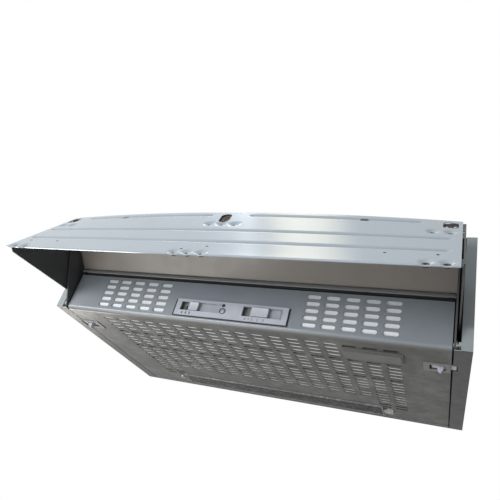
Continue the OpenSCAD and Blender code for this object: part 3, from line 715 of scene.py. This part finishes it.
def felt_mat(name, size, place, wires=()):
    """A soft mat of size (x, y, thickness) with rounded rims and a lumpy surface, pushed in where
    a wire runs under it; place maps it to the part."""
    columns, rows = (max(4, round(extent / FELT_CELL)) for extent in size[:2])
    seed = Vector((len(name), 3.1, 0.7))

    def half(x, y):
        rim = min(size[0] / 2 - abs(x), size[1] / 2 - abs(y)) / FELT_RIM
        rim = min(max(rim, 0.0), 1.0)
        return size[2] / 2 * (0.45 + 0.55 * math.sqrt(1 - (1 - rim) ** 2)) - FELT_LUMP

    def lumps(x, y, layer):
        where = Vector((x, y, layer))
        return FELT_LUMP * (0.65 * noise.noise(where * 110 + seed) + 0.35 * noise.noise(where * 290 + seed))

    def pushed(y, sign):
        near = sum(math.exp(-((y - wire) / WIRE_REACH) ** 2) for wire in wires)
        return 0.0 if sign > 0 else WIRE_PUSH * near

    verts, faces = [], []
    for sign in (1, -1):
        layer, quads = grid_sheet(size[0], size[1], columns, rows,
            lambda x, y: (x, y, sign * half(x, y) + lumps(x, y, sign) + pushed(y, sign)))
        start = len(verts)
        verts += layer
        faces += [tuple(start + i for i in (quad if sign > 0 else quad[::-1])) for quad in quads]
    faces += rim_faces(columns, rows, start)
    return piece(name, [place @ Vector(v) for v in verts], faces, True)


def filter_felts():
    """The filter mat over the grille, and the two mats behind the front slots."""
    low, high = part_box("filter_felt")
    size, middle = high - low + Vector((0, 0, 2.0 * MM)), (low + high) / 2 - Vector((0, 0, 1.0 * MM))
    wires = [y * MM - middle.y for y in WIRE_ROWS]
    mat = felt_mat("filter_mat", tuple(size), Matrix.Translation(middle), wires)
    settle(mat, "filter_fabric", "grille_panel", replaces=["filter_felt"])
    low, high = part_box("front_felts")
    inner = 96 * MM
    size = (high.x - inner, high.z - low.z, high.y - low.y + 1.0 * MM)
    for side, label in ((-1, "left"), (1, "right")):
        middle = Vector((side * (inner + size[0] / 2), (low.y + high.y - 1.0 * MM) / 2, (low.z + high.z) / 2))
        place = Matrix.Translation(middle) @ Matrix.Rotation(math.pi / 2, 4, "X")
        mat = felt_mat("front_mat_" + label, size, place)
        settle(mat, "filter_fabric", "grille_panel", replaces=["front_felts"])


# ---- lip of the air guide ----

def guide_lip():
    """Rolled lip along the front of the air guide, with a black strip above and below it, which are painted
    shadow lines along its edges.
    """
    low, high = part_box("air_guide")
    half = high.x / MM - 0.4
    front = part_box("lip_bumpers")[0].y / MM
    nose, back = front - 0.6, front + 2.6
    foot, top = low.z / MM + 0.2, low.z / MM + 5.6
    lip = Shape().prism(rounded([(nose, foot), (back, foot), (back, top), (nose, top)], 1.6), -half, half)
    settle(lip.build("guide_lip"), "lip_paint", "swing_frame")
    # Painted shadow: black strips above and below the lip give the dark lines along its edges.
    above = [(front + 1.2, top), (front + 3.2, top), (front + 3.6, top + 1.8), (front + 2.2, top + 1.8)]
    under = [(front + 0.9, foot - 2.9), (front + 3.2, foot - 2.9), (front + 3.2, foot), (front + 0.9, foot)]
    shadow_strips = Shape().prism(above, -half, half).prism(under, -half, half)
    settle(shadow_strips.build("guide_shadow_strips"), "black_plastic", "swing_frame")


# ---- controls ----

# Slider windows as (x0, z0, x1, z1), in millimetres
LIGHT_WINDOW = (-76.0, 15.5, -15.0, 29.0)
FAN_WINDOW = (20.0, 15.0, 75.0, 29.5)


def control_shadow_gap():
    """Black strip round the left, lower and right edges of the control plate: painted shadow of the gap round
    it.
    """
    low, high = (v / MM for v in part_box("control_plate"))
    shape, wide = Shape(), 1.8
    back, front = high.y, high.y - 0.9
    shape.block((low.x - wide, front, low.z - wide), (high.x + wide, back, low.z))
    for x0, x1 in ((low.x - 1.6 * wide, low.x), (high.x, high.x + wide)):
        shape.block((x0, front, low.z), (x1, back, high.z - 1))
    made = shape.build("control_shadow_gap")
    soften(made, 0.3 * MM)
    settle(made, "black_plastic", "grille_panel")


def window_frames():
    """Raised rim round each slider window."""
    shape, wide = Shape(), 0.9
    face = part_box("control_plate")[0].y / MM
    for x0, z0, x1, z1 in (LIGHT_WINDOW, FAN_WINDOW):
        for low, high in border(x0 - wide, z0 - wide, x1 + wide, z1 + wide, wide):
            shape.block((low[0], face - 0.45, low[1]), (high[0], face + 0.6, high[1]))
    made = shape.build("window_frames")
    soften(made, 0.2 * MM)
    settle(made, "grey_plastic", "grille_panel")


def knob_cap(node, body):
    """A slider knob with a hollowed thumb face and rounded rims."""
    low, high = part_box(node)
    columns, rows = 24, 16
    size, middle = high - low, (low + high) / 2
    setback, dish = 0.8 * MM, 0.88 * MM

    def face(x, z):
        across = 1 - (2 * z / size.z) ** 2
        return (middle.x + x, low.y + setback + dish * across, middle.z + z)

    verts, faces = grid_sheet(size.x, size.z, columns, rows, face)
    layer = len(verts)
    verts += [(x, high.y, z) for x, _, z in verts]
    faces += [tuple(layer + i for i in quad[::-1]) for quad in faces]
    made = piece(node + "_cap", verts, faces + rim_faces(columns, rows, layer))
    soften(made, 0.5 * MM, 3, 50)
    settle(made, "light_plastic", body, replaces=[node])


def printed(name, text, x, z, height):
    """A generic mark printed on the control plate."""
    curve = bpy.data.curves.new(name, "FONT")
    curve.body, curve.size, curve.align_x = text, height * 1.4, "CENTER"
    curve.extrude = 0.04 * MM
    flat = bpy.data.objects.new(name + "_flat", curve)
    bpy.context.scene.collection.objects.link(flat)
    graph = bpy.context.evaluated_depsgraph_get()
    mesh = bpy.data.meshes.new_from_object(flat.evaluated_get(graph))
    bpy.data.objects.remove(flat)
    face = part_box("control_plate")[0].y - 0.03 * MM
    mesh.transform(Matrix.Translation((x * MM, face, z * MM)) @ Matrix.Rotation(math.pi / 2, 4, "X"))
    made = bpy.data.objects.new(name, mesh)
    bpy.context.scene.collection.objects.link(made)
    settle(made, "print_ink", "grille_panel")


def plate_marks():
    """The digits of the fan slider with a dash, and three ticks at the light slider."""
    for digit, x in zip("0123", (26, 36, 44, 52)):
        printed("mark_" + digit, digit, x, 9.4, 3.7 * MM)
    shape = Shape()
    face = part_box("control_plate")[0].y / MM
    front, back = face - 0.06, face + 0.2
    for x in (-72, -66, -60):
        shape.block((x, front, 9.8), (x + 1.6, back, 13.6))
    shape.block((30.0, front, 11.2), (32.2, back, 12.3))
    settle(shape.build("plate_ticks"), "print_ink", "grille_panel")


def pilot_lights():
    """A domed lens in a black ring, which is painted shadow round the lens, and a small dark eye above it."""
    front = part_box("pilot_lens")[0].y / MM + 0.8
    lens = at(-9.4, front, 19.1, "-Y")
    # Painted shadow: the ring is black so that it reads as the dark arc round the lens.
    ring = Shape().lathe([(3.4, -2), (4.3, -2), (4.3, 0.5), (4.0, 0.8), (3.7, 0.8), (3.4, 0.5)], lens)
    settle(ring.build("pilot_ring"), "print_ink", "grille_panel", replaces=["pilot_lens"])
    dome = Shape().lathe([(0, -2), (3.3, -2), (3.3, 0.0), (2.4, 0.45), (1.2, 0.62), (0, 0.66)], lens)
    settle(dome.build("pilot_dome"), "lens_plastic", "grille_panel")
    pupil = [(0, -2), (2.5, -2), (2.5, 0.1), (2.1, 0.25), (0, 0.2)]
    eye = Shape().lathe(pupil, at(-10, front, 27.6, "-Y"), 24)
    settle(eye.build("pilot_eye"), "black_plastic", "grille_panel", replaces=["pilot_lens"])


# ---- underside fittings ----

def lens_panel():
    """Prismatic lamp lens in a bevelled frame."""
    low, high = (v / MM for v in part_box("lamp_diffuser"))
    inset, bar, drop, rib = 3.3, 3, low.z, 1.4
    y0, y1 = low.y + inset + bar, high.y - inset - bar
    count = round((y1 - y0) / rib)
    under = []
    for i in range(count):
        y = y0 + i * (y1 - y0) / count
        under += [(y, drop + 0.25), (y + 0.5 * (y1 - y0) / count, drop + 0.75)]
    outline = under + [(y1, drop + 0.25), (y1, 2.6), (y0, 2.6)]
    lens = Shape().prism(outline, low.x + inset + bar, high.x - inset - bar)
    settle(lens.build("lens_prisms", 20), "diffuser_plastic", "grille_panel", replaces=["lamp_diffuser"])
    frame_shape = Shape()
    for a, b in border(low.x + inset, low.y + inset, high.x - inset, high.y - inset, bar):
        frame_shape.block((a[0], a[1], drop - 0.2), (b[0], b[1], 1))
    frame_shape.block((low.x, low.y, 1), (high.x, high.y, 2.2))
    made = frame_shape.build("lens_frame")
    soften(made, 0.35 * MM)
    settle(made, "lens_rim", "grille_panel", replaces=["lamp_diffuser"])


def badge_backing():
    """Black strip behind the first slots above the badge plate, which makes those slots dark: painted shade.
    """
    low, high = (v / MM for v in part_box("badge_plate"))
    shape = Shape().block((low.x - 2, low.y - 11, 1.15), (high.x, low.y + 4, 2.4))
    made = shape.build("badge_backing")
    soften(made, 0.3 * MM)
    settle(made, "black_plastic", "grille_panel")


def latch_tab(node, side):
    """A finger tab that narrows downwards, on its sliding plate: drawn on the right, in millimetres,
    and mirrored for the left."""
    shape = Shape()
    top = [(264, -263), (271, -263), (271, -253.5), (264, -253.5)]
    tip = [(266.6, -260), (268.8, -260), (268.6, -255.5), (266.8, -255.5)]
    verts = [(x, y, 1.3) for x, y in top] + [(x, y, -2.6) for x, y in top] + [(x, y, -6.8) for x, y in tip]
    faces = [(0, 1, 2, 3), (8, 9, 10, 11)]
    faces += [(k + i, k + (i + 1) % 4, k + 4 + (i + 1) % 4, k + 4 + i) for k in (0, 4) for i in range(4)]
    shape.add(verts, faces)
    slider = Shape().block((257, -265, 1.3), (285, -251, 3.3))
    for form, name, material in ((shape, "_tab", "slide_plastic"), (slider, "_slider", "light_plastic")):
        made = form.build(node + name)
        if side < 0:
            made.data.transform(Matrix.Scale(-1, 4, (1, 0, 0)))
            made.data.flip_normals()
        soften(made, 0.6 * MM, 3)
        settle(made, material, node, replaces=[node])


# ---- screws ----

def plus_cutter(width, arm, height, turn):
    """A cross-shaped cutter for the recess of a screw head."""
    outline, half = [], width / 2
    for k in range(4):
        spin = Matrix.Rotation(k * math.pi / 2, 2)
        outline += [tuple(spin @ Vector(p)) for p in ((arm, -half), (arm, half), (half, half))]
    shift = Matrix.Rotation(-math.pi / 2, 4, "Y")
    return Shape().prism(outline, -height, height, turn @ shift)


def screw_heads(name, places, radius, height, body, replaces=()):
    """Pan heads with cross recesses; places come from at() and mark the foot of each head."""
    heads, cutters = Shape(), Shape()
    for index, turn in enumerate(places):
        heads.lathe([(0, 0), (radius, 0), (radius, height * 0.35), (radius * 0.85, height * 0.75),
                     (radius * 0.5, height * 0.97), (0, height)], turn, 32)
        spin = Matrix.Rotation(0.4 + index * 0.9, 4, "Z")
        cross = plus_cutter(radius * 0.28, radius * 0.62, height * 0.55,
            turn @ Matrix.Translation((0, 0, height)) @ spin)
        cutters.add(cross.verts, cross.faces)
    made = heads.build(name)
    cut_away(made, [cutters.build("cross_cutter")])
    made.data.set_sharp_from_angle(angle=math.radians(35))
    settle(made, "screw_steel", body, replaces)


def all_screws():
    """Screws along both sides of the casing's top, and the one beside the lamp lens."""
    low, high = (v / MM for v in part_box("body_screws"))
    radius = 3.2
    x = high.x - radius
    places = [at(side * x, y, low.z) for side in (-1, 1) for y in (-290, -200, -110, -20)]
    screw_heads("body_screw_heads", places, radius, 1.6, "casing", ["body_screws"])
    low, high = (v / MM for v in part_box("lamp_diffuser"))
    places = [at(low.x - 7, -43, -0.05, "-Z")]
    screw_heads("lens_screw_head", places, 3.8, 1.7, "grille_panel")


studio()
dress_nodes()
visor_skin()
visor_backings()
visor_catch_plate()
corner_screws()
filter_felts()
guide_lip()
control_shadow_gap()
window_frames()
knob_cap("light_knob", "light_slider")
knob_cap("fan_knob", "fan_slider")
plate_marks()
pilot_lights()
lens_panel()
badge_backing()
latch_tab("latch_left", -1)
latch_tab("latch_right", 1)
all_screws()
